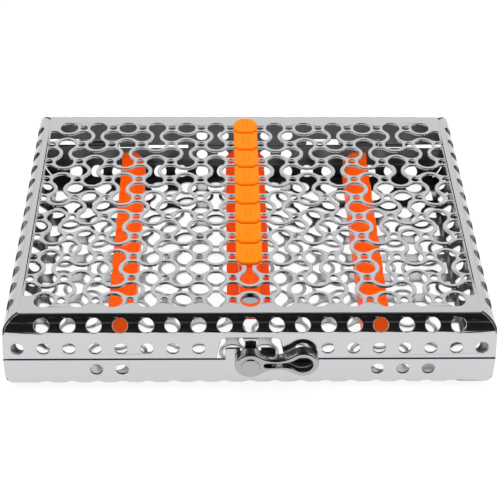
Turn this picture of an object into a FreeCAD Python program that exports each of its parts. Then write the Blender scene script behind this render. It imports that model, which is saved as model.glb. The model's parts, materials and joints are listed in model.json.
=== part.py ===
import FreeCAD, Part
import math
import os

# Instrument cassette: a shallow sheet-metal tray with a hinged lid, both punched all over so that
# steam and wash water pass through, silicone rails that carry the instruments, a silicone
# hold-down in the lid and a turning latch at the front.
# Millimetres. +X is to the right, +Y to the back (the hinge side), +Z up. The origin is the
# centre of the footprint, on the surface that the cassette stands on.

# Lattice of openings, the same in the lid and in the floor
CELL = 10.0
WEB = 1.8
PITCH = CELL * math.sqrt(2)
OPENING_R = (CELL - WEB) / 2
SMALL_HOLE_R = 1.65
COLUMNS = 13
ROWS = 10
EDGE_CUT = 1.4
SIDE_MARGIN = 1.4
END_MARGIN = 3.7

# Sheet metal
SHEET = 0.9
BEND_R = 6.0
LID_DRAFT = 3.5
BASE_DRAFT = 0.0
LID_H = 19.5
BASE_H = 16.7
SEAM = 0.3
CORNER_SLIT = 0.8

# Rows of round holes in the walls and bends
HOLE_PITCH = 10.6
WALL_HOLE_R = 2.65
BEND_HOLE_R = 3.05
LID_BEND_HOLE_TILT = 56.0
BASE_BEND_HOLE_TILT = 38.0
LID_HOLE_DROP = 13.9
BASE_HOLE_RISE = 10.9
LONG_HOLES = 9
LONG_BEND_HOLES = 8
SHORT_HOLES = 6
MIDDLE_HOLES = 2
BASE_FRONT_HOLES = (-6, -5, 5, 6, 7)

# Silicone pieces
FIT = 0.3
STEM_R = 3.8
CAP_W = 11.3
CAP_H = 1.8
CAP_GAP = 1.2
CAP_SAG = 2.3
CAP_FLAT = 3.2
CAP_BEVEL = 0.5
CAPS = 8
WEB_W = 8.6
WEB_FOOT_DROP = 14.5
LEG_REACH = 5.3
LEG_T = 2.4
SLIT_W = 1.0
WEB_FRONT = 51.0
NOSE_FRONT = 67.8
NOSE_H = 6.0
HOLD_DOWN_BACK = 67.8
RAIL_X = 55.0
RAIL_W = 11.2
RAIL_H = 14.8
RAIL_TOP_W = 6.8
RAIL_SLOPE_DROP = 4.4
RAIL_FRONT = 51.0
RAIL_BACK = 72.0
NOTCHES = 8
NOTCH_R = 4.0
NOTCH_DEPTH = 1.5
PLUG_R = 5.4
PLUG_H = 1.3
PLUG_ROWS = (0, 2, 5, 7)

# Steel stud at the front end of the hold-down
STUD_HEAD_R = 3.4
STUD_HEAD_H = 1.0
STUD_SHANK_R = 1.6
STUD_SHANK_L = 4.5
STUD_RING = 1.2

# Latch
WINDOW_H = 10.9
WINDOW_HALF = 14.1
WINDOW_TOP_HALF = 11.9
WINDOW_R = 2.5
TONGUE_HALF = 10.5
TONGUE_H = 5.9
TONGUE_R = 1.5
KEEPER_HALF = 3.5
KEEPER_WAIST = 2.4
KEEPER_RISE = 4.6
KEEPER_GAP = 0.7
LEVER_R = 6.5
LEVER_REACH = 21.6
LEVER_TILT = 1.9
LEVER_WAIST = 5.4
LEVER_DEPTH = 4.2
LEVER_GAP = 0.4
LEVER_SHEET = 1.0
LEVER_EDGE_R = 0.9
LOOP_R = 4.2
SLOT_W = 2.6
SLOT_START = 6.6
SLOT_FLARE_R = 10.0
RIVET_R = 2.4
RIVET_HEAD_R = 3.9
RIVET_HEAD_H = 0.5
RIVET_TAIL_H = 0.9
RUNNING_FIT = 0.05
BUSH_R = 3.6
SPRING_H = 0.5
SPRING_T = 0.25
SPRING_R = 4.3
BACKING_R = 4.2
BACKING_T = 0.6

# Hinges: one pin each, through a knuckle rolled from the base wall and one rolled from the lid wall
PIN_R = 1.0
PIN_HEAD_R = 1.6
PIN_HEAD_H = 0.7
HINGE_X = 65.0
BASE_KNUCKLE_L = 19.4
LID_KNUCKLE_L = 14.6
KNUCKLE_SHEET = 0.8
LID_NOTCH_H = 3.5
LID_RELIEF = 16.8
BASE_RELIEF = 19.8

# Worked out from the sizes above
FLOOR_Z = PLUG_H
SEAM_Z = FLOOR_Z + BASE_H
LID_Z = SEAM_Z + LID_H
HALF_COLUMNS = (COLUMNS - 1) / 2 * PITCH
HALF_ROWS = (ROWS - 1) / 2 * PITCH
CUT_X = HALF_COLUMNS + PITCH / 2 + EDGE_CUT
FLAT_X = CUT_X + SIDE_MARGIN
FLAT_Y = HALF_ROWS + OPENING_R + END_MARGIN


def wall_run(height, draft):
    """How far a wall of this height, with its bend, stands out from the edge of the flat."""
    a = math.radians(draft)
    straight = height - BEND_R * (1 - math.sin(a))
    return BEND_R * math.cos(a) + straight * math.tan(a)


RIM_X = FLAT_X + wall_run(LID_H, LID_DRAFT)
RIM_Y = FLAT_Y + wall_run(LID_H, LID_DRAFT)
BASE_FLAT_X = RIM_X - wall_run(BASE_H, BASE_DRAFT)
BASE_FLAT_Y = RIM_Y - wall_run(BASE_H, BASE_DRAFT)
KNUCKLE_BORE_R = PIN_R + RUNNING_FIT
KNUCKLE_R = KNUCKLE_BORE_R + KNUCKLE_SHEET
HINGE_Y = RIM_Y + FIT + KNUCKLE_R
FRONT_Y = -RIM_Y
LEVER_BACK_Y = FRONT_Y - LEVER_GAP
LEVER_FACE_Y = LEVER_BACK_Y - LEVER_DEPTH


def v(x, y, z=0.0):
    return FreeCAD.Vector(x, y, z)


def line(a, b):
    return Part.LineSegment(a, b).toShape()


def arc(centre, r, start, end):
    """Arc in the plane z = centre.z, anticlockwise if end is more than start, in degrees."""
    points = []
    for turn in (start, (start + end) / 2, end):
        a = math.radians(turn)
        points.append(centre + v(r * math.cos(a), r * math.sin(a)))
    return Part.Arc(*points).toShape()


def circle(centre, r):
    return Part.Wire([Part.makeCircle(r, centre)])


def plate(outer, inner, thickness):
    """Flat plate in XY with its holes, from wires in one plane, thickened upwards."""
    face = Part.makeFace([outer] + inner, "Part::FaceMakerBullseye")
    return solid(face.extrude(v(0, 0, thickness)))


def solid(shape):
    return shape.Solids[0] if len(shape.Solids) == 1 else shape


def polygon(points):
    return Part.makePolygon([v(*p) for p in points] + [v(*points[0])])


def prism(points, direction):
    return solid(Part.Face(polygon(points)).extrude(direction))


def fuse(shapes):
    return solid(shapes[0].multiFuse(shapes[1:]).removeSplitter())


def cylinder(centre, axis, r, length):
    """Cylinder with its middle at centre."""
    axis = FreeCAD.Vector(axis).normalize()
    return Part.makeCylinder(r, length, centre - axis * (length / 2), axis)


def dumbbell(a, b, r, neck_r):
    """Two round ends of radius r joined by a neck whose two arcs are tangent to them."""
    along = b - a
    turn = math.degrees(math.atan2(along.y, along.x))
    half = along.Length / 2
    lean = math.degrees(math.acos(half / (r + neck_r)))
    rise = math.sqrt((r + neck_r) ** 2 - half ** 2)
    middle = (a + b) / 2
    side = v(-along.y, along.x).normalize() * rise
    return Part.Wire([
        arc(a, r, turn + lean, turn + 360 - lean),
        arc(middle - side, neck_r, turn + 180 - lean, turn + lean),
        arc(b, r, turn + lean - 180, turn + 180 - lean),
        arc(middle + side, neck_r, turn - lean, turn + lean - 180),
    ])


def cut_dumbbell(a, b, r, neck_r, cut_x):
    """The dumbbell a-b, level, with its outer end a cut off upright at cut_x."""
    out = -1 if a.x < b.x else 1
    whole = Part.Face(dumbbell(a, b, r, neck_r))
    keep = prism([(cut_x, a.y - 2 * r, a.z), (b.x - out * 2 * r, a.y - 2 * r, a.z),
                  (b.x - out * 2 * r, a.y + 2 * r, a.z), (cut_x, a.y + 2 * r, a.z)], v(0, 0, 1))
    return whole.common(keep).Faces[0].OuterWire


def cut_circle(centre, r, cut_x):
    """A circle cut off upright at cut_x, on the side away from the middle of the sheet."""
    reach = abs(cut_x - centre.x)
    lean = math.degrees(math.acos(reach / r))
    if cut_x < centre.x:
        round_part = arc(centre, r, lean - 180, 180 - lean)
    else:
        round_part = arc(centre, r, lean, 360 - lean)
    ends = [vertex.Point for vertex in round_part.Vertexes]
    return Part.Wire([round_part, line(ends[1], ends[0])])


def lattice(z, small_holes):
    """Openings of the sheet: round holes on two interleaved square grids. Each neighbouring pair
    is joined by a neck, upright and level in turn, so that the webs between them wander."""
    neck_r = OPENING_R + WEB
    xs = [i * PITCH - HALF_COLUMNS for i in range(COLUMNS)]
    ys = [HALF_ROWS - k * PITCH for k in range(ROWS)]
    wires = []
    for i, x in enumerate(xs):
        necks = [k for k in range(1, ROWS) if (i + k) % 2 == 0]
        joined = set()
        for k in necks:
            wires.append(dumbbell(v(x, ys[k - 1], z), v(x, ys[k], z), OPENING_R, neck_r))
            joined.update((k - 1, k))
        wires += [circle(v(x, ys[k], z), OPENING_R) for k in range(ROWS) if k not in joined]
        for k in range(1, ROWS):
            if (i + k) % 2 == 0:
                continue
            left = v(x - PITCH / 2, ys[k] + PITCH / 2, z)
            right = v(x + PITCH / 2, ys[k] + PITCH / 2, z)
            if i == 0:
                wires.append(cut_dumbbell(left, right, OPENING_R, neck_r, -CUT_X))
            elif i == COLUMNS - 1:
                wires.append(cut_dumbbell(right, left, OPENING_R, neck_r, CUT_X))
            else:
                wires.append(dumbbell(left, right, OPENING_R, neck_r))
    for side, i in ((-1, 0), (1, COLUMNS - 1)):
        for k in range(1, ROWS):
            if (i + k) % 2 == 0:
                centre = v(side * (HALF_COLUMNS + PITCH / 2), ys[k] + PITCH / 2, z)
                wires.append(cut_circle(centre, OPENING_R, side * CUT_X))
    if small_holes:
        for x in [(xs[i] + xs[i + 1]) / 2 for i in range(COLUMNS - 1)]:
            wires += [circle(v(x, y, z), SMALL_HOLE_R) for y in ys]
        for x in (-HALF_COLUMNS - PITCH / 2, HALF_COLUMNS + PITCH / 2):
            wires += [circle(v(x, y, z), SMALL_HOLE_R) for y in ys[1:-1]]
    return wires


def grille(half_x, half_y, z, small_holes):
    """Flat punched panel between the bends."""
    outer = polygon([(-half_x, -half_y, z), (half_x, -half_y, z), (half_x, half_y, z), (-half_x, half_y, z)])
    return plate(outer, lattice(z, small_holes), SHEET)


def wall_section(flat, flat_z, height, draft, rim_cut):
    """Section of a wall with its bend, as a wire in the plane x = 0: the wall faces -Y, its flat
    ends at y = -flat and it runs away from flat_z. A negative height is a wall that stands up."""
    way = 1 if height > 0 else -1
    a = math.radians(draft)
    rim = abs(height) - rim_cut

    def at(out, drop):
        return v(0, -(flat + out), flat_z - way * drop)

    def bend_point(r, turn):
        return at(r * math.sin(turn), BEND_R - r * math.cos(turn))

    def rim_point(r):
        end_turn = math.pi / 2 - a
        start_out = r * math.sin(end_turn)
        start_drop = BEND_R - r * math.cos(end_turn)
        return at(start_out + (rim - start_drop) * math.tan(a), rim)

    end = math.pi / 2 - a
    inner_r = BEND_R - SHEET
    edges = [
        Part.Arc(bend_point(BEND_R, 0), bend_point(BEND_R, end / 2), bend_point(BEND_R, end)).toShape(),
        line(bend_point(BEND_R, end), rim_point(BEND_R)),
        line(rim_point(BEND_R), rim_point(inner_r)),
        line(rim_point(inner_r), bend_point(inner_r, end)),
        Part.Arc(bend_point(inner_r, end), bend_point(inner_r, end / 2), bend_point(inner_r, 0)).toShape(),
        line(bend_point(inner_r, 0), bend_point(BEND_R, 0)),
    ]
    return Part.Wire(edges)


def mitred_wall(flat, span, flat_z, height, draft):
    """Wall and bend that face -Y, cut at 45 degrees where they meet the next walls, with a slit
    between the bends at each corner."""
    reach = 2 * BEND_R
    section = Part.Face(wall_section(flat, flat_z, height, draft, SEAM / 2))
    section.translate(v(-span - reach, 0, 0))
    bar = section.extrude(v(2 * (span + reach), 0, 0))
    low = min(flat_z, flat_z - height)
    tall = abs(height)
    keep = prism([(-span, -flat, low), (-span - reach, -flat - reach, low),
                  (span + reach, -flat - reach, low), (span, -flat, low)], v(0, 0, tall))
    wall = bar.common(keep)
    slit = CORNER_SLIT / math.sqrt(2)
    bend_low = flat_z - BEND_R if height > 0 else flat_z
    cutters = []
    for side in (-1, 1):
        cutters.append(prism([(side * (span - slit), -flat, bend_low),
                              (side * (span + reach - slit), -flat - reach, bend_low),
                              (side * (span + 2 * reach), -flat - reach, bend_low),
                              (side * (span + reach), -flat, bend_low)], v(0, 0, BEND_R)))
    return solid(wall.cut(cutters))


def bend_holes(flat, flat_z, height, tilt, places):
    """Round cutters through the bend of a wall that faces -Y, square to its curve."""
    way = 1 if height > 0 else -1
    a = math.radians(tilt)
    axis = v(0, -math.sin(a), way * math.cos(a))
    middle_r = BEND_R - SHEET / 2
    drop = BEND_R - middle_r * math.cos(a)
    return [cylinder(v(x, -flat - middle_r * math.sin(a), flat_z - way * drop), axis, BEND_HOLE_R, 4 * SHEET)
            for x in places]


def wall_holes(rim, z, places):
    """Round cutters through a wall that faces -Y."""
    return [cylinder(v(x, -rim, z), v(0, 1, 0), WALL_HOLE_R, 6 * SHEET) for x in places]


def spaced(half_count, skip=()):
    return [n * HOLE_PITCH for n in range(-half_count, half_count + 1) if n not in skip]


def facing(shape, turn):
    """Turn a wall that faces -Y to its own side."""
    shape.rotate(v(0, 0), v(0, 0, 1), turn)
    return shape


def lid_wall_z():
    return LID_Z - LID_HOLE_DROP


def base_wall_z():
    return FLOOR_Z + BASE_HOLE_RISE


def knuckle(x0, x1, way):
    """Hinge knuckle rolled from the sheet of the back wall: a strip in the plane of the wall that
    turns outwards past the pin and round it. way is +1 over the pin, -1 under it."""
    rim_z = SEAM_Z - way * SEAM / 2
    inner_y = RIM_Y - KNUCKLE_SHEET
    far_z = SEAM_Z + way * KNUCKLE_R
    near_z = SEAM_Z + way * KNUCKLE_BORE_R
    outer_r = KNUCKLE_SHEET + FIT
    turn = outer_r / math.sqrt(2)
    inner_turn = FIT / math.sqrt(2)
    centre = v(x0, inner_y + outer_r, far_z - way * outer_r)
    strip = Part.Wire([
        line(v(x0, inner_y, rim_z), v(x0, inner_y, centre.z)),
        Part.Arc(v(x0, inner_y, centre.z), v(x0, centre.y - turn, centre.z + way * turn),
                 v(x0, centre.y, far_z)).toShape(),
        line(v(x0, centre.y, far_z), v(x0, HINGE_Y, far_z)),
        line(v(x0, HINGE_Y, far_z), v(x0, HINGE_Y, near_z)),
        line(v(x0, HINGE_Y, near_z), v(x0, centre.y, near_z)),
        Part.Arc(v(x0, centre.y, near_z), v(x0, centre.y - inner_turn, centre.z + way * inner_turn),
                 v(x0, RIM_Y, centre.z)).toShape(),
        line(v(x0, RIM_Y, centre.z), v(x0, RIM_Y, rim_z)),
        line(v(x0, RIM_Y, rim_z), v(x0, inner_y, rim_z)),
    ])
    length = x1 - x0
    barrel = Part.makeCylinder(KNUCKLE_R, length, v(x0, HINGE_Y, SEAM_Z), v(1, 0, 0))
    bore = Part.makeCylinder(KNUCKLE_BORE_R, length, v(x0, HINGE_Y, SEAM_Z), v(1, 0, 0))
    return Part.Face(strip).extrude(v(length, 0, 0)).fuse(barrel).cut(bore)


def hinge_spans(side):
    """Left and right ends of one hinge's base knuckle and lid knuckle. Both hinges point the same
    way, so the lid knuckle is always on the right."""
    start = side * HINGE_X - (BASE_KNUCKLE_L + LID_KNUCKLE_L) / 2
    middle = start + BASE_KNUCKLE_L
    return start, middle, middle + LID_KNUCKLE_L


def box(x0, y0, z0, x1, y1, z1):
    return Part.makeBox(x1 - x0, y1 - y0, z1 - z0, v(x0, y0, z0))


def window_outline(y):
    """Opening of the lid's front wall that the latch works in: wider at the rim, rounded above."""
    top = SEAM_Z + WINDOW_H
    low = SEAM_Z - SEAM
    face = Part.Face(polygon([(-WINDOW_HALF, y, low), (WINDOW_HALF, y, low),
                              (WINDOW_TOP_HALF, y, top), (-WINDOW_TOP_HALF, y, top)]))
    block = face.extrude(v(0, 4 * BEND_R, 0))
    edges = [e for e in block.Edges if abs(e.Length - 4 * BEND_R) < 1e-6 and e.CenterOfMass.z > SEAM_Z + 1]
    return solid(block.makeFillet(WINDOW_R, edges))


def lid_front_full():
    return mitred_wall(FLAT_Y, FLAT_X, LID_Z, LID_H, LID_DRAFT)


def lid_front_wall():
    wall = lid_front_full()
    cutters = bend_holes(FLAT_Y, LID_Z, LID_H, LID_BEND_HOLE_TILT, spaced(LONG_BEND_HOLES))
    cutters += wall_holes(RIM_Y, lid_wall_z(), spaced(LONG_HOLES, (-1, 0, 1)))
    cutters.append(window_outline(FRONT_Y - BEND_R))
    return solid(wall.cut(cutters))


def lid_back_wall():
    wall = lid_front_full()
    middle = spaced(MIDDLE_HOLES)
    cutters = bend_holes(FLAT_Y, LID_Z, LID_H, LID_BEND_HOLE_TILT, spaced(LONG_BEND_HOLES))
    cutters += wall_holes(RIM_Y, lid_wall_z(), middle)
    wall = facing(solid(wall.cut(cutters)), 180)
    pieces = []
    notches = []
    for side in (-1, 1):
        start, split, end = hinge_spans(side)
        notches.append(box(start - LID_RELIEF, RIM_Y - BEND_R, SEAM_Z - SEAM,
                           split + FIT / 2, RIM_Y + SHEET, SEAM_Z + LID_NOTCH_H))
        pieces.append(knuckle(split + FIT / 2, end, -1))
    return fuse([wall.cut(notches)] + pieces)


def lid_side_wall(turn):
    wall = mitred_wall(FLAT_X, FLAT_Y, LID_Z, LID_H, LID_DRAFT)
    cutters = bend_holes(FLAT_X, LID_Z, LID_H, LID_BEND_HOLE_TILT, spaced(SHORT_HOLES))
    cutters += wall_holes(RIM_X, lid_wall_z(), spaced(SHORT_HOLES))
    return facing(solid(wall.cut(cutters)), turn)


def tongue():
    """Upright tab on the rim of the base that carries the latch, notched for the keeper."""
    rim_z = SEAM_Z - SEAM / 2
    block = box(-TONGUE_HALF, FRONT_Y, rim_z, TONGUE_HALF, FRONT_Y + SHEET, SEAM_Z + TONGUE_H)
    top_edges = [e for e in block.Edges
                 if abs(e.Length - SHEET) < 1e-6 and e.CenterOfMass.z > SEAM_Z]
    block = block.makeFillet(TONGUE_R, top_edges)
    notch_half = KEEPER_HALF + KEEPER_GAP
    notch = box(-notch_half, FRONT_Y - SHEET, SEAM_Z + KEEPER_RISE - KEEPER_GAP,
                notch_half, FRONT_Y + 2 * SHEET, SEAM_Z + TONGUE_H + SHEET)
    return block.cut(notch)


def base_long_wall():
    wall = mitred_wall(BASE_FLAT_Y, BASE_FLAT_X, FLOOR_Z, -BASE_H, BASE_DRAFT)
    return wall.cut(bend_holes(BASE_FLAT_Y, FLOOR_Z, -BASE_H, BASE_BEND_HOLE_TILT, spaced(LONG_BEND_HOLES)))


def base_front_wall():
    holes = wall_holes(RIM_Y, base_wall_z(), [n * HOLE_PITCH for n in BASE_FRONT_HOLES])
    rivet_hole = cylinder(v(0, FRONT_Y, SEAM_Z), v(0, 1, 0), RIVET_R, 6 * SHEET)
    return fuse([base_long_wall().cut(holes), tongue()]).cut(rivet_hole)


def base_back_wall():
    wall = facing(base_long_wall(), 180)
    wall = wall.cut(facing(Part.Compound(wall_holes(RIM_Y, base_wall_z(), spaced(MIDDLE_HOLES))), 180))
    pieces = []
    notches = []
    for side in (-1, 1):
        start, split, end = hinge_spans(side)
        notches.append(box(split - FIT / 2, RIM_Y - BEND_R, SEAM_Z - KNUCKLE_R - FIT,
                           end + BASE_RELIEF, RIM_Y + SHEET, SEAM_Z + SEAM))
        pieces.append(knuckle(start, split - FIT / 2, 1))
    return fuse([wall.cut(notches)] + pieces)


def base_side_wall(turn):
    wall = mitred_wall(BASE_FLAT_X, BASE_FLAT_Y, FLOOR_Z, -BASE_H, BASE_DRAFT)
    cutters = bend_holes(BASE_FLAT_X, FLOOR_Z, -BASE_H, BASE_BEND_HOLE_TILT, spaced(SHORT_HOLES))
    return facing(solid(wall.cut(cutters)), turn)


def hinge_pin(side):
    """Pin through both knuckles, with a staked head at each end."""
    start, _, end = hinge_spans(side)
    shank = Part.makeCylinder(PIN_R, end - start, v(start, HINGE_Y, SEAM_Z), v(1, 0, 0))
    heads = [Part.makeCylinder(PIN_HEAD_R, PIN_HEAD_H, v(start, HINGE_Y, SEAM_Z), v(-1, 0, 0)),
             Part.makeCylinder(PIN_HEAD_R, PIN_HEAD_H, v(end, HINGE_Y, SEAM_Z), v(1, 0, 0))]
    return fuse([shank] + heads)


def cap_edge(y, z):
    """Corners of a cap's front edge, from left to right: flat in the middle, cut back at the ends."""
    half = CAP_W / 2
    return [v(-half, y + CAP_SAG, z), v(-CAP_FLAT, y, z), v(CAP_FLAT, y, z), v(half, y + CAP_SAG, z)]


def cap(row, z):
    """One cap of the hold-down: its back edge follows the front edge of the cap behind it, but for
    the rearmost, which is round at the back."""
    half = CAP_W / 2
    y = HALF_ROWS - row * PITCH
    length = PITCH - CAP_GAP
    front = cap_edge(y - length / 2, z)
    if row == 0:
        sides = Part.makePolygon([v(-half, y, z)] + front + [v(half, y, z)])
        outline = Part.Wire(sides.Edges + [arc(v(0, y, z), half, 0, 180)])
    else:
        back = cap_edge(y + length / 2, z)
        outline = Part.makePolygon(front + back[::-1] + front[:1])
    block = Part.Face(outline).extrude(v(0, 0, CAP_H))
    top = [e for e in block.Edges if e.BoundBox.ZMin > z + CAP_H - 1e-6]
    return block.makeChamfer(CAP_BEVEL, top)


def stud_place():
    return -HALF_ROWS + OPENING_R / 2


def hold_down():
    """Silicone strip that hangs in the lid: caps on top, a stem through each opening, a web below
    with two legs that spread at 45 degrees, slit into fingers that press on the instruments, and a
    shallow nose in front that takes the stud."""
    under = LID_Z - SHEET - FIT
    foot = LID_Z - WEB_FOOT_DROP
    half = WEB_W / 2
    tip = LEG_REACH
    thick = LEG_T * math.sqrt(2)
    y0 = -WEB_FRONT
    section = [(-half, y0, under), (half, y0, under), (half, y0, foot),
               (half + tip, y0, foot - tip), (half + tip - LEG_T, y0, foot - tip - LEG_T),
               (half - LEG_T, y0, foot - thick), (LEG_T - half, y0, foot - thick),
               (LEG_T - half - tip, y0, foot - tip - LEG_T), (-half - tip, y0, foot - tip),
               (-half, y0, foot)]
    bar = prism(section, v(0, HOLD_DOWN_BACK + WEB_FRONT, 0))
    slits = []
    for k in range(CAPS):
        y = HALF_ROWS - (k + 0.5) * PITCH
        for side in (-1, 1):
            low, high = sorted((side * half, side * (half + 2 * tip)))
            slits.append(box(low, y - SLIT_W / 2, foot - 3 * tip, high, y + SLIT_W / 2, foot + 1))
    stud_hole = Part.makeCylinder(STUD_SHANK_R, STUD_SHANK_L, v(0, stud_place(), under), v(0, 0, -1))
    seat = Part.makeCylinder(STUD_HEAD_R, STUD_HEAD_H, v(0, stud_place(), under), v(0, 0, -1))
    nose = box(-half, -NOSE_FRONT, under - NOSE_H, half, y0, under)
    pieces = [bar.cut(slits), nose.cut([stud_hole, seat])]
    for row in range(CAPS):
        y = HALF_ROWS - row * PITCH
        pieces.append(Part.makeCylinder(STEM_R, LID_Z + FIT - under, v(0, y, under)))
        pieces.append(cap(row, LID_Z + FIT))
    return fuse(pieces)


def hold_down_stud():
    """Flat-headed steel stud sunk in the front end of the hold-down."""
    top = v(0, stud_place(), LID_Z - SHEET - FIT)
    head = Part.makeCylinder(STUD_HEAD_R, STUD_HEAD_H, top, v(0, 0, -1))
    shank = Part.makeCylinder(STUD_SHANK_R, STUD_SHANK_L, top, v(0, 0, -1))
    return fuse([head, shank])


def rail(side):
    """Silicone rail on the floor: a flat top notched at each instrument, a slope towards the
    middle and round plugs through the floor whose heads are the feet."""
    floor = FLOOR_Z + SHEET + FIT
    top = floor + RAIL_H
    outer = side * (RAIL_X + RAIL_W / 2)
    inner = side * (RAIL_X - RAIL_W / 2)
    ridge = outer - side * RAIL_TOP_W
    bar = prism([(outer, -RAIL_FRONT, floor), (outer, -RAIL_FRONT, top), (ridge, -RAIL_FRONT, top),
                 (inner, -RAIL_FRONT, top - RAIL_SLOPE_DROP), (inner, -RAIL_FRONT, floor)],
                v(0, RAIL_FRONT + RAIL_BACK, 0))
    grooves = [cylinder(v(side * RAIL_X, HALF_ROWS - k * PITCH, top - NOTCH_DEPTH + NOTCH_R),
                        v(1, 0, 0), NOTCH_R, 2 * RAIL_W) for k in range(NOTCHES)]
    pieces = [bar.cut(grooves)]
    column = side * round(RAIL_X / PITCH) * PITCH
    for row in PLUG_ROWS:
        y = HALF_ROWS - row * PITCH
        pieces.append(Part.makeCylinder(STEM_R, floor, v(column, y, 0)))
        pieces.append(Part.makeCylinder(PLUG_R, PLUG_H - FIT, v(column, y, 0)))
    return fuse(pieces)


def in_front(shape, y):
    """Stand a shape drawn in XY, thickened along +Z, on edge: its Z becomes -Y from y and its XY
    plane becomes XZ about the latch's pivot."""
    shape.rotate(v(0, 0), v(1, 0, 0), 90)
    shape.translate(v(0, y, SEAM_Z))
    return shape


def lever_outline(inset):
    """Outline of the lever's two round ends and waist, drawn in by inset."""
    turn = math.radians(LEVER_TILT)
    reach = v(LEVER_REACH * math.cos(turn), LEVER_REACH * math.sin(turn))
    half = LEVER_REACH / 2
    waist = LEVER_WAIST / 2
    neck_r = (half ** 2 + waist ** 2 - LEVER_R ** 2) / (2 * (LEVER_R - waist))
    return dumbbell(v(0, 0), reach, LEVER_R - inset, neck_r + inset)


def lever_slot():
    """Slot along the lever that widens through two arcs into the loop at its end."""
    half = SLOT_W / 2
    rise = half + SLOT_FLARE_R
    run = math.sqrt((LOOP_R + SLOT_FLARE_R) ** 2 - rise ** 2)
    lean = math.degrees(math.atan2(rise, run))
    neck = LEVER_REACH - run
    return Part.Wire([
        line(v(SLOT_START, -half), v(neck, -half)),
        arc(v(neck, -rise), SLOT_FLARE_R, 90, lean),
        arc(v(LEVER_REACH, 0), LOOP_R, lean - 180, 180 - lean),
        arc(v(neck, rise), SLOT_FLARE_R, -lean, -90),
        line(v(neck, half), v(SLOT_START, half)),
        arc(v(SLOT_START, 0), half, 90, 270),
    ])


def latch_lever():
    """Pressed lever: a face plate with a flange turned back all round, a slot that opens into a
    loop, and a hole for the rivet."""
    outline = lever_outline(0)
    body = Part.Face(outline).extrude(v(0, 0, LEVER_DEPTH))
    front = [e for e in body.Edges if e.BoundBox.ZMin > LEVER_DEPTH - 1e-6]
    body = body.makeFillet(LEVER_EDGE_R, front)
    hollow = Part.Face(lever_outline(LEVER_SHEET)).extrude(v(0, 0, LEVER_DEPTH - LEVER_SHEET))
    slot = Part.Face(lever_slot()).extrude(v(0, 0, 2 * LEVER_DEPTH))
    slot.rotate(v(0, 0), v(0, 0, 1), LEVER_TILT)
    hole = Part.makeCylinder(RIVET_R + RUNNING_FIT, 2 * LEVER_DEPTH)
    return solid(in_front(body.cut([hollow, slot, hole]), LEVER_BACK_Y))


def latch_rivet():
    """Rivet that the lever turns on: a low head in front, a tail behind the backing washer."""
    shank_back = FRONT_Y + SHEET + BACKING_T
    head = Part.makeCone(RIVET_HEAD_R, RIVET_HEAD_R - RIVET_HEAD_H / 2, RIVET_HEAD_H, v(0, LEVER_FACE_Y, SEAM_Z),
                         v(0, -1, 0))
    shank = Part.makeCylinder(RIVET_R, shank_back - LEVER_FACE_Y, v(0, LEVER_FACE_Y, SEAM_Z), v(0, 1, 0))
    tail = Part.makeCylinder(RIVET_HEAD_R, RIVET_TAIL_H, v(0, shank_back, SEAM_Z), v(0, 1, 0))
    return fuse([head, shank, tail])


def ring(outer_r, inner_r, y, length):
    """Ring round the rivet, from y towards the front."""
    outer = Part.makeCylinder(outer_r, length, v(0, y, SEAM_Z), v(0, -1, 0))
    return solid(outer.cut(Part.makeCylinder(inner_r, length, v(0, y, SEAM_Z), v(0, -1, 0))))


def latch_bush():
    length = LEVER_GAP + LEVER_DEPTH - LEVER_SHEET - SPRING_H
    return ring(BUSH_R, RIVET_R + RUNNING_FIT, FRONT_Y, length)


def latch_spring_washer():
    """Coned spring washer between the bush and the lever's plate: wide end on the bush."""
    inner = RIVET_R + RUNNING_FIT
    y = LEVER_FACE_Y + LEVER_SHEET
    section = polygon([(inner, y, SEAM_Z), (inner, y + SPRING_T, SEAM_Z),
                       (SPRING_R, y + SPRING_H, SEAM_Z), (SPRING_R, y + SPRING_H - SPRING_T, SEAM_Z)])
    return solid(Part.Face(section).revolve(v(0, 0, SEAM_Z), v(0, 1, 0), 360))


def latch_backing_washer():
    return ring(BACKING_R, RIVET_R, FRONT_Y + SHEET + BACKING_T, BACKING_T)


def lid_keeper():
    """Hourglass tab in the plane of the lid's front wall, from the top of the window down into the
    notch of the tongue."""
    top = SEAM_Z + WINDOW_H
    low = SEAM_Z + KEEPER_RISE
    middle = (top + low) / 2
    y = FRONT_Y - BEND_R
    waist_l = v(-KEEPER_WAIST, y, middle)
    waist_r = v(KEEPER_WAIST, y, middle)
    outline = Part.Wire([
        line(v(-KEEPER_HALF, y, low), v(KEEPER_HALF, y, low)),
        Part.Arc(v(KEEPER_HALF, y, low), waist_r, v(KEEPER_HALF, y, top)).toShape(),
        line(v(KEEPER_HALF, y, top), v(-KEEPER_HALF, y, top)),
        Part.Arc(v(-KEEPER_HALF, y, top), waist_l, v(-KEEPER_HALF, y, low)).toShape(),
    ])
    return solid(lid_front_full().common(Part.Face(outline).extrude(v(0, 2 * BEND_R, 0))))


def model():
    return {
        "lid_grille": grille(FLAT_X, FLAT_Y, LID_Z - SHEET, True),
        "lid_front_wall": lid_front_wall(),
        "lid_back_wall": lid_back_wall(),
        "lid_left_wall": lid_side_wall(-90),
        "lid_right_wall": lid_side_wall(90),
        "base_grille": grille(BASE_FLAT_X, BASE_FLAT_Y, FLOOR_Z, False),
        "base_front_wall": base_front_wall(),
        "base_back_wall": base_back_wall(),
        "base_left_wall": base_side_wall(-90),
        "base_right_wall": base_side_wall(90),
        "hinge_pin_left": hinge_pin(-1),
        "hinge_pin_right": hinge_pin(1),
        "hold_down": hold_down(),
        "hold_down_stud": hold_down_stud(),
        "left_rail": rail(-1),
        "right_rail": rail(1),
        "latch_lever": latch_lever(),
        "latch_rivet": latch_rivet(),
        "latch_bush": latch_bush(),
        "latch_spring_washer": latch_spring_washer(),
        "latch_backing_washer": latch_backing_washer(),
        "lid_keeper": lid_keeper(),
    }


os.makedirs("parts", exist_ok=True)
for name, shape in model().items():
    shape.exportStep("parts/" + name + ".step")
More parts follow.
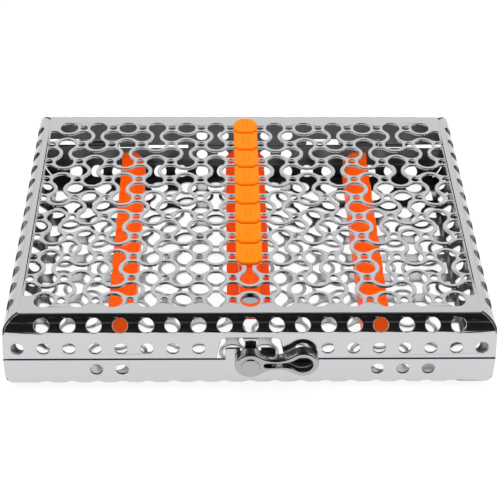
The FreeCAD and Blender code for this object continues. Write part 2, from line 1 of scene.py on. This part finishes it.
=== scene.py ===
import bmesh
import bpy
import json
import math
import numpy as np
from bpy.props import FloatProperty, FloatVectorProperty, PointerProperty
from mathutils import Matrix, Vector


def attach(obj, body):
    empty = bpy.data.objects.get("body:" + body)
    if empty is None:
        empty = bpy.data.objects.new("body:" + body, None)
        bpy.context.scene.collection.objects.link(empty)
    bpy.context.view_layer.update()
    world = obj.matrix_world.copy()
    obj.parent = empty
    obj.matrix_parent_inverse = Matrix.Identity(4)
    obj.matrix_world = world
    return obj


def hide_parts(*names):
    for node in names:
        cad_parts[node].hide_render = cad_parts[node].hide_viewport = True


bl_info = {
    "name": "Instrument Cassette",
    "version": (1, 0, 0),
    "blender": (4, 5, 0),
    "location": "View3D > Sidebar > Cassette",
    "description": "Dresses the packed instrument cassette and sets its studio",
    "category": "Object",
}

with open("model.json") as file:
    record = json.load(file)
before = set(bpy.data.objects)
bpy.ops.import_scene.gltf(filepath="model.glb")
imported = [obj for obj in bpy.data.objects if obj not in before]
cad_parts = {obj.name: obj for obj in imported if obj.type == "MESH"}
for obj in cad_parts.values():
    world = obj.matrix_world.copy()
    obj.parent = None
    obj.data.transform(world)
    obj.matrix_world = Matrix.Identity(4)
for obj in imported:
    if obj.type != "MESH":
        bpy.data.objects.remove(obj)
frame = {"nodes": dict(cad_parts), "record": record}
NODES = frame["nodes"]
BODY_OF = {node: body for body, nodes in frame["record"]["behaviour"]["bodies"].items() for node in nodes}
MM = 0.001

# Meshes: how close doubles lie, how flat a face is, in degrees, from what turn an edge is sharp,
# how near the joint of two pieces of one pressing a vertex lies, and how far a face has to look
# away from the outside to count as inner
MERGE = 0.001 * MM
FLAT_ANGLE = 0.2
SHARP_ANGLE = 38
JOINT = 0.02 * MM
INWARD = -0.3

# Caps of the hold-down: one per diagonal step of the lattice, the rearmost four and a half steps
# behind the middle
LATTICE = 10 * MM
CAP_PITCH = math.sqrt(2) * LATTICE
CAP_FIRST = 4.5 * CAP_PITCH
CAP_MARK_HALF_WIDTH = 1.15 * MM
CAP_MARK_HALF_LENGTH = 2.4 * MM
CAP_MARK_SHOULDER = 0.15 * MM

# The camera that the photograph was taken with, worked out from the lattice of the lid: its
# angles in radians, its focal length in pixels of a picture this wide
CAMERA_PLACE = (-13.223 * MM, -488.90 * MM, 405.31 * MM)
CAMERA_PITCH = 0.67637
CAMERA_YAW = 0.02995
CAMERA_ROLL = 0.017157
FOCAL_PIXELS = 1365.15
PICTURE_PIXELS = 500
SENSOR = 36.0

# The stage, in metres
TABLE_REACH = 3.0
TABLE_DROP = 0.2 * MM
CARD_FROM = -0.13
CARD_LIFT = 1 * MM
LIGHT_PLACE = (0.0, -0.2, 1.6)
LIGHT_SIDE = 1.8

# Which way each piece of sheet faces out of the case
SHEETS = {
    "lid_grille": (0, 0, 1), "lid_front_wall": (0, -1, 1), "lid_back_wall": (0, 1, 1),
    "lid_left_wall": (-1, 0, 1), "lid_right_wall": (1, 0, 1), "lid_keeper": (0, -1, 0),
    "base_grille": (0, 0, -1), "base_front_wall": (0, -1, -1), "base_back_wall": (0, 1, -1),
    "base_left_wall": (-1, 0, -1), "base_right_wall": (1, 0, -1),
}
HINGES = ("hinge_pin_left", "hinge_pin_right")
LATCH = ("latch_lever", "latch_rivet", "latch_bush", "latch_spring_washer", "latch_backing_washer",
         "hold_down_stud")
RAILS = ("left_rail", "right_rail")


def linear(code):
    """sRGB hex code to linear RGBA."""
    values = [int(code[i:i + 2], 16) / 255 for i in (1, 3, 5)]
    return [v / 12.92 if v <= 0.04045 else ((v + 0.055) / 1.055) ** 2.4 for v in values] + [1.0]


def add(tree, kind, settings=(), values=(), links=()):
    """Adds a node: its own settings, the values of its sockets, and (socket, source socket) links."""
    node = tree.nodes.new(kind)
    for name, value in settings:
        setattr(node, name, value)
    for name, value in values:
        node.inputs[name].default_value = value
    for name, source in links:
        tree.links.new(source, node.inputs[name])
    return node


def blank_material(name):
    """Material without nodes, and its node tree."""
    material = bpy.data.materials.new(name)
    material.use_nodes = True
    material.node_tree.nodes.clear()
    return material, material.node_tree


def colour(name, text, code):
    """Property for a colour, with its default as an sRGB hex code."""
    return FloatVectorProperty(name=name, description=text, subtype="COLOR", size=4, min=0, max=1,
                               default=linear(code))


def length(name, text, default):
    """Property for a small length in metres."""
    return FloatProperty(name=name, description=text, default=default, min=0, subtype="DISTANCE",
                         unit="LENGTH", precision=5)


class CassetteSettings(bpy.types.PropertyGroup):
    steel: colour("Steel", "Colour of the polished sheet", "#C8C9CB")
    # Painted shade: the inner steel colour is the same steel painted darker for the shade inside the case
    inner_steel_shade: colour("Inner steel", "Colour of the duller faces inside the case", "#66676A")
    latch_steel: colour("Latch steel", "Colour of the latch, its rivet and the stud", "#ABACAE")
    # Painted light and shade: the caps colour is the orange silicone as lit above the lid, the strip colour
    # the same silicone painted redder for the shade below the lid
    caps: colour("Caps", "Colour of the hold-down above the lid", "#FF8600")
    strip: colour("Strip", "Colour of the hold-down below the lid", "#F54A04")
    # Painted shade: the rails colour is the hold-down's orange silicone painted redder for the shade under
    # the lid
    rails: colour("Rails", "Colour of the rails", "#FF5A04")
    roughness: FloatProperty(name="Roughness", description="Roughness of the polished sheet", default=0.11,
                             min=0, max=1)
    inner_roughness: FloatProperty(name="Inner roughness", description="Roughness of the inner faces",
                                   default=0.3, min=0, max=1)
    edge: length("Edge radius", "Rounding of the punched edges", 0.34 * MM)
    hinge_edge: length("Hinge edge radius", "Rounding of the ends of the hinge pins", 0.2 * MM)
    latch_edge: length("Latch edge radius", "Rounding of the latch's edges", 0.08 * MM)
    soft_edge: length("Soft edge radius", "Rounding of the silicone's edges", 0.35 * MM)
    waviness: length("Waviness", "Depth of the waves that the press left in the sheet", 0.075 * MM)
    latch_waviness: length("Latch waviness", "Depth of the waves in the latch's steel", 0.02 * MM)
    cap_mark: length("Cap mark", "Height of the oblong mark in the middle of each cap", 0.5 * MM)
    # Painted glow: how strongly the silicone below the lid glows, an emission that stands in for light in
    # the shade
    painted_glow: FloatProperty(name="Shine through", description="Glow of the table's light in shaded silicone",
                         default=0.28, min=0)
    glow: FloatProperty(name="Table glow", description="Light that the table gives off", default=0.86, min=0)
    band: FloatProperty(name="Backdrop", description="Brightness of the backdrop at the sides and the back",
                        default=1.22, min=0)
    overhead: FloatProperty(name="Overhead", description="Power of the overhead soft box, in watts",
                            default=28.0, min=0)


def steel_polished(name, tint, roughness, waviness):
    """Stainless sheet, punched, pressed and electropolished: a mirror that the press left faintly
    wavy, so that what it reflects has wandering edges, with a fine orange-peel from the bath. The
    waves are about 10 mm long, the peel about 1 mm, and the crests of the waves are a little
    duller than their hollows."""
    material, tree = blank_material(name)
    place = add(tree, "ShaderNodeTexCoord")
    peel = add(tree, "ShaderNodeTexNoise", values=(("Scale", 900.0), ("Detail", 2.0)),
               links=(("Vector", place.outputs["Object"]),))
    waves = add(tree, "ShaderNodeTexNoise", values=(("Scale", 95.0), ("Detail", 2.0), ("Roughness", 0.4)),
                links=(("Vector", place.outputs["Object"]),))
    both = add(tree, "ShaderNodeMath", (("operation", "MULTIPLY_ADD"),), ((1, 0.012),),
               ((0, peel.outputs["Fac"]), (2, waves.outputs["Fac"])))
    height = add(tree, "ShaderNodeMath", (("operation", "MULTIPLY"),), ((1, waviness),),
                 ((0, both.outputs[0]),))
    bump = add(tree, "ShaderNodeBump", values=(("Strength", 1.0), ("Distance", 1.0)),
               links=(("Height", height.outputs[0]),))
    smear = add(tree, "ShaderNodeMapRange",
                values=(("From Min", 0.3), ("From Max", 0.7), ("To Min", roughness * 0.8),
                        ("To Max", roughness * 1.3)),
                links=(("Value", waves.outputs["Fac"]),))
    shader = add(tree, "ShaderNodeBsdfPrincipled",
                 values=(("Base Color", tint), ("Metallic", 1.0)),
                 links=(("Normal", bump.outputs[0]), ("Roughness", smear.outputs[0])))
    add(tree, "ShaderNodeOutputMaterial", links=(("Surface", shader.outputs[0]),))
    return material


def silicone_moulded(name, above, below, mark, painted_glow):
    """Silicone rubber from a smooth mould: a satin skin that takes soft highlights. The colour is
    painted light and shade: above colours the part over the lid and below the part under it, so
    that one silicone shows as a lit amber copy and a shaded red-orange copy, and under the lid it
    also carries a painted glow, an emission that stands in for light in the shade. In the middle
    of each cap the mould left a raised oblong: height = mark where |x| < half width and |y from
    the cap| < half length, with soft shoulders."""
    material, tree = blank_material(name)
    place = add(tree, "ShaderNodeTexCoord")
    skin = add(tree, "ShaderNodeTexNoise", values=(("Scale", 1500.0), ("Detail", 2.0)),
               links=(("Vector", place.outputs["Object"]),))
    fine = add(tree, "ShaderNodeMath", (("operation", "MULTIPLY"),), ((1, 0.01 * MM),),
               ((0, skin.outputs["Fac"]),))
    parts = add(tree, "ShaderNodeSeparateXYZ", links=(("Vector", place.outputs["Object"]),))
    lid_top = reach("lid_grille")[2]
    height = add(tree, "ShaderNodeMapRange", (("interpolation_type", "SMOOTHSTEP"),),
                 (("From Min", lid_top + 0.1 * MM), ("From Max", lid_top + 1.7 * MM)),
                 (("Value", parts.outputs["Z"]),))
    row = add(tree, "ShaderNodeMath", (("operation", "SUBTRACT"),), ((1, CAP_FIRST),),
              ((0, parts.outputs["Y"]),))
    along = add(tree, "ShaderNodeMath", (("operation", "WRAP"),), ((1, CAP_PITCH / 2), (2, -CAP_PITCH / 2)),
                ((0, row.outputs[0]),))
    raised = height
    for source, half in ((parts.outputs["X"], CAP_MARK_HALF_WIDTH),
                         (along.outputs[0], CAP_MARK_HALF_LENGTH)):
        away = add(tree, "ShaderNodeMath", (("operation", "ABSOLUTE"),), links=((0, source),))
        inside = add(tree, "ShaderNodeMapRange", (("interpolation_type", "SMOOTHSTEP"),),
                     (("From Min", half + CAP_MARK_SHOULDER), ("From Max", half - CAP_MARK_SHOULDER)),
                     (("Value", away.outputs[0]),))
        raised = add(tree, "ShaderNodeMath", (("operation", "MULTIPLY"),),
                     links=((0, raised.outputs[0]), (1, inside.outputs[0])))
    relief = add(tree, "ShaderNodeMath", (("operation", "MULTIPLY_ADD"),), ((1, mark),),
                 ((0, raised.outputs[0]), (2, fine.outputs[0])))
    bump = add(tree, "ShaderNodeBump", values=(("Strength", 1.0), ("Distance", 1.0)),
               links=(("Height", relief.outputs[0]),))
    # Painted light and shade: the mix puts the above colour on the silicone over the lid and the below
    # colour under it
    tint = add(tree, "ShaderNodeMix", (("data_type", "RGBA"),), ((6, below), (7, above)),
               ((0, height.outputs[0]),))
    # Painted glow: below the lid the silicone gives off light in its own colour, standing in for light in
    # the shade
    through = add(tree, "ShaderNodeMapRange", values=(("To Min", painted_glow), ("To Max", 0.0)),
                  links=(("Value", height.outputs[0]),))
    shader = add(tree, "ShaderNodeBsdfPrincipled",
                 values=(("Roughness", 0.38), ("IOR", 1.41), ("Specular IOR Level", 0.14)),
                 links=(("Normal", bump.outputs[0]), ("Base Color", tint.outputs[2]),
                        ("Emission Color", tint.outputs[2]), ("Emission Strength", through.outputs[0])))
    add(tree, "ShaderNodeOutputMaterial", links=(("Surface", shader.outputs[0]),))
    return material


def card_black():
    """Black card that lies in front of the case, out of the picture: the bend reflects it as a
    dark line."""
    material, tree = blank_material("card_black_matt")
    shader = add(tree, "ShaderNodeBsdfPrincipled",
                 values=(("Base Color", linear("#0A0A0A")), ("Roughness", 0.9)))
    add(tree, "ShaderNodeOutputMaterial", links=(("Surface", shader.outputs[0]),))
    return material


def table_lit(glow):
    """Matt white table lit from below, which is why what shows through the openings is white."""
    material, tree = blank_material("matt_white_light_table")
    shader = add(tree, "ShaderNodeBsdfPrincipled",
                 values=(("Base Color", linear("#7C7C7C")), ("Roughness", 0.9),
                         ("Emission Color", linear("#FFFFFF")), ("Emission Strength", glow)))
    add(tree, "ShaderNodeOutputMaterial", links=(("Surface", shader.outputs[0]),))
    return material


def read(items, name, width, kind=np.float32):
    """One attribute of a mesh's items as an array of rows."""
    values = np.empty(width * len(items), dtype=kind)
    items.foreach_get(name, values)
    return values.reshape(-1, width) if width > 1 else values


def reach(node):
    """Furthest |x| and |y| and the highest z of a node's vertices."""
    places = read(NODES[node].data.vertices, "co", 3)
    return [float(v) for v in (*np.abs(places[:, :2]).max(axis=0), places[:, 2].max())]


def sharp_edges(mesh, limit):
    """True for each edge whose two faces turn by more than limit degrees:
    n1 . n2 < cos(limit), over the pairs of faces that share an edge."""
    edge_of = read(mesh.loops, "edge_index", 1, np.int32)
    face_of = np.repeat(np.arange(len(mesh.polygons)), read(mesh.polygons, "loop_total", 1, np.int32))
    normals = read(mesh.polygons, "normal", 3)
    order = np.argsort(edge_of, kind="stable")
    edge, face = edge_of[order], face_of[order]
    pair = np.flatnonzero(edge[1:] == edge[:-1])
    turn = np.einsum("ij,ij->i", normals[face[pair]], normals[face[pair + 1]])
    sharp = np.zeros(len(mesh.edges), dtype=bool)
    sharp[edge[pair]] = turn < math.cos(math.radians(limit))
    return sharp


def on_joint(node, places):
    """True for each vertex where pieces of one pressing meet: on the edge of the flat, or where
    the walls meet at the corners, |x| - flat_x = |y| - flat_y."""
    flat = reach(node.split("_")[0] + "_grille")[:2]
    past = np.abs(places[:, :2]) - np.array(flat, dtype=np.float32)
    if node.endswith("grille"):
        return past.max(axis=1) > -JOINT
    across = 0 if "left" in node or "right" in node else 1
    return (past[:, across] < JOINT) | (np.abs(past[:, 0] - past[:, 1]) < JOINT)


def shell(node, materials, radius, segments=2, tidy=True):
    """Piece that stands for a CAD node: its mesh with the doubles merged, smooth over the bends,
    and its sharp edges rounded by a bevel of this radius. tidy joins the triangles of each flat
    into one face, which then sets the normals along its bends, so that it mirrors as a flat. In
    sheet, the edges where the pieces of one pressing meet stay sharp, and the faces inside the
    case take the second material, for most sheet a darker steel with painted shade."""
    work = bmesh.new()
    work.from_mesh(NODES[node].data)
    bmesh.ops.remove_doubles(work, verts=work.verts, dist=MERGE)
    bmesh.ops.recalc_face_normals(work, faces=work.faces)
    if tidy:
        bmesh.ops.dissolve_limit(work, angle_limit=math.radians(FLAT_ANGLE), verts=work.verts,
                                 edges=work.edges)
    mesh = bpy.data.meshes.new(node + "_shell")
    work.to_mesh(mesh)
    work.free()
    if "custom_normal" in mesh.attributes:
        mesh.attributes.remove(mesh.attributes["custom_normal"])
    mesh.polygons.foreach_set("use_smooth", np.ones(len(mesh.polygons), dtype=bool))
    sharp = sharp_edges(mesh, SHARP_ANGLE)
    mesh.edges.foreach_set("use_edge_sharp", sharp)
    mesh.materials.clear()
    for material in materials:
        mesh.materials.append(material)
    rounded = sharp
    if node in SHEETS:
        ends = read(mesh.edges, "vertices", 2, np.int32)
        places = read(mesh.vertices, "co", 3)
        rounded = sharp & ~on_joint(node, places)[ends].all(axis=1)
        if node.endswith("grille"):
            heights = places[:, 2][ends]
            rounded = rounded & (heights.min(axis=1) > heights.max() - JOINT)
        out = np.array(SHEETS[node]) / np.linalg.norm(SHEETS[node])
        inner = read(mesh.polygons, "normal", 3) @ out < INWARD
        mesh.polygons.foreach_set("material_index", inner.astype(np.int32))
    weight = mesh.attributes.new("bevel_weight_edge", "FLOAT", "EDGE")
    weight.data.foreach_set("value", rounded.astype(np.float32))
    piece = bpy.data.objects.new(node + "_shell", mesh)
    bpy.context.scene.collection.objects.link(piece)
    bevel = piece.modifiers.new("edge", "BEVEL")
    bevel.limit_method = "WEIGHT"
    bevel.width = radius
    bevel.segments = segments
    bevel.use_clamp_overlap = False
    bevel.harden_normals = True
    if tidy:
        normals = piece.modifiers.new("flat faces", "WEIGHTED_NORMAL")
        normals.mode = "FACE_AREA"
        normals.weight = 100
        normals.keep_sharp = True
    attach(piece, BODY_OF[node])
    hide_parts(node)
    return piece


class CASSETTE_OT_sheet(bpy.types.Operator):
    """Rounds and polishes the sheet of the lid and of the base"""
    bl_idname = "cassette.sheet"
    bl_label = "Sheet metal"

    def execute(self, context):
        sizes = context.scene.cassette
        steel = steel_polished("stainless_sheet_electropolished", sizes.steel, sizes.roughness,
                               sizes.waviness)
        # Painted shade: a darker copy of the steel for the faces inside the case
        inner = steel_polished("stainless_sheet_painted_shade", sizes.inner_steel_shade, sizes.inner_roughness,
                               sizes.waviness)
        for node in SHEETS:
            floor = node == "base_grille"
            shell(node, (steel, steel if floor else inner), sizes.edge, 1 if floor else 2,
                  tidy=not node.endswith("grille"))
        for node in HINGES:
            shell(node, (steel,), sizes.hinge_edge)
        return {"FINISHED"}


class CASSETTE_OT_latch(bpy.types.Operator):
    """Rounds and polishes the latch and the stud"""
    bl_idname = "cassette.latch"
    bl_label = "Latch"

    def execute(self, context):
        sizes = context.scene.cassette
        steel = steel_polished("stainless_pressed_latch", sizes.latch_steel, sizes.roughness,
                               sizes.latch_waviness)
        for node in LATCH:
            shell(node, (steel,), sizes.latch_edge, tidy=False)
        return {"FINISHED"}


class CASSETTE_OT_silicone(bpy.types.Operator):
    """Rounds the silicone pieces and gives them their material, with painted light, shade and glow; the
    polished sheet doesn't mirror them
    """
    bl_idname = "cassette.silicone"
    bl_label = "Silicone"

    def execute(self, context):
        sizes = context.scene.cassette
        # Painted light and shade: the hold-down takes the lit caps colour over the lid and the shaded strip
        # colour under it
        strip = silicone_moulded("silicone_amber_painted_light_and_shade", sizes.caps, sizes.strip, sizes.cap_mark,
                                 sizes.painted_glow)
        # Painted shade and glow: the rails take the shaded red-orange copy of the silicone
        rail = silicone_moulded("silicone_orange_painted_shade", sizes.rails, sizes.rails, 0.0, sizes.painted_glow)
        pieces = [shell("hold_down", (strip,), sizes.soft_edge, 3)]
        for node in RAILS:
            pieces.append(shell(node, (rail,), sizes.soft_edge, 3))
        for piece in pieces:
            piece.visible_glossy = False
        return {"FINISHED"}


def level_sheet(name, front, back, height, material):
    """Level rectangle as wide as the table, from front to back at this height."""
    mesh = bpy.data.meshes.new(name)
    mesh.from_pydata([(-TABLE_REACH, front, 0), (TABLE_REACH, front, 0), (TABLE_REACH, back, 0),
                      (-TABLE_REACH, back, 0)], [], [(0, 1, 2, 3)])
    mesh.materials.append(material)
    item = bpy.data.objects.new(name, mesh)
    item.location.z = height
    bpy.context.scene.collection.objects.link(item)
    return item


def soft_box(power):
    """Square soft box overhead, aimed at the case, that the steel doesn't mirror."""
    light = bpy.data.lights.new("overhead", "AREA")
    light.size = LIGHT_SIDE
    light.energy = power
    item = bpy.data.objects.new("overhead", light)
    item.location = LIGHT_PLACE
    item.rotation_euler = (-Vector(LIGHT_PLACE)).to_track_quat("-Z", "Y").to_euler()
    item.visible_glossy = False
    bpy.context.scene.collection.objects.link(item)


def studio_world(brightness):
    """Dark room with a pale backdrop round the back and the sides, up to about 47 degrees: the
    limits are sines of the elevation, and the backdrop fades out towards the front."""
    world = bpy.data.worlds.new("studio")
    world.use_nodes = True
    tree = world.node_tree
    tree.nodes.clear()
    way = add(tree, "ShaderNodeTexCoord")
    parts = add(tree, "ShaderNodeSeparateXYZ", links=(("Vector", way.outputs["Generated"]),))
    height = add(tree, "ShaderNodeMapRange", (("interpolation_type", "SMOOTHSTEP"),),
                 (("From Min", 0.84), ("From Max", 0.68), ("To Min", 0.0), ("To Max", 1.0)),
                 (("Value", parts.outputs["Z"]),))
    back = add(tree, "ShaderNodeMapRange", (("interpolation_type", "SMOOTHSTEP"),),
               (("From Min", -0.75), ("From Max", -0.35), ("To Min", 0.0), ("To Max", 1.0)),
               (("Value", parts.outputs["Y"]),))
    wall = add(tree, "ShaderNodeMath", (("operation", "MULTIPLY"),),
               links=((0, height.outputs[0]), (1, back.outputs[0])))
    level = add(tree, "ShaderNodeMapRange", values=(("To Min", 0.02), ("To Max", brightness)),
                links=(("Value", wall.outputs[0]),))
    shade = add(tree, "ShaderNodeBackground", links=(("Strength", level.outputs[0]),))
    add(tree, "ShaderNodeOutputWorld", links=(("Surface", shade.outputs[0]),))
    bpy.context.scene.world = world


def photo_camera():
    """Camera where the photograph's stood: it looks along yaw and pitch, and roll turns its
    picture about that line."""
    camera = bpy.data.cameras.new("camera")
    camera.lens = FOCAL_PIXELS * SENSOR / PICTURE_PIXELS
    camera.sensor_width = SENSOR
    camera.clip_start = 0.01
    item = bpy.data.objects.new("camera", camera)
    pitch, yaw, roll = CAMERA_PITCH, CAMERA_YAW, CAMERA_ROLL
    ahead = Vector((math.sin(yaw) * math.cos(pitch), math.cos(yaw) * math.cos(pitch), -math.sin(pitch)))
    right = Vector((math.cos(yaw), -math.sin(yaw), 0))
    up = right.cross(ahead)
    across = right * math.cos(roll) + up * math.sin(roll)
    above = up * math.cos(roll) - right * math.sin(roll)
    turn = Matrix((across, above, -ahead)).transposed().to_4x4()
    item.matrix_world = Matrix.Translation(CAMERA_PLACE) @ turn
    bpy.context.scene.collection.objects.link(item)
    bpy.context.scene.camera = item


class CASSETTE_OT_stage(bpy.types.Operator):
    """Sets the table, the studio lights and the camera"""
    bl_idname = "cassette.stage"
    bl_label = "Stage"

    def execute(self, context):
        sizes = context.scene.cassette
        table = level_sheet("table", -TABLE_REACH, TABLE_REACH, -TABLE_DROP, table_lit(sizes.glow))
        card = level_sheet("card", -TABLE_REACH, CARD_FROM, CARD_LIFT, card_black())
        card.visible_camera = card.visible_diffuse = card.visible_shadow = False
        studio_world(sizes.band)
        soft_box(sizes.overhead)
        photo_camera()
        context.scene.view_settings.view_transform = "Standard"
        return {"FINISHED"}


class CASSETTE_PT_panel(bpy.types.Panel):
    bl_idname = "CASSETTE_PT_panel"
    bl_label = "Cassette"
    bl_space_type = "VIEW_3D"
    bl_region_type = "UI"
    bl_category = "Cassette"

    def draw(self, context):
        for name in CassetteSettings.__annotations__:
            self.layout.prop(context.scene.cassette, name)
        for operator in OPERATORS:
            self.layout.operator(operator.bl_idname)


OPERATORS = (CASSETTE_OT_sheet, CASSETTE_OT_latch, CASSETTE_OT_silicone, CASSETTE_OT_stage)
CLASSES = (CassetteSettings,) + OPERATORS + (CASSETTE_PT_panel,)


def register():
    for item in CLASSES:
        bpy.utils.register_class(item)
    bpy.types.Scene.cassette = PointerProperty(type=CassetteSettings)


def unregister():
    del bpy.types.Scene.cassette
    for item in reversed(CLASSES):
        bpy.utils.unregister_class(item)


def main():
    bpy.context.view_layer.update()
    register()
    bpy.ops.cassette.sheet()
    bpy.ops.cassette.latch()
    bpy.ops.cassette.silicone()
    bpy.ops.cassette.stage()


if __name__ == "__main__":
    main()
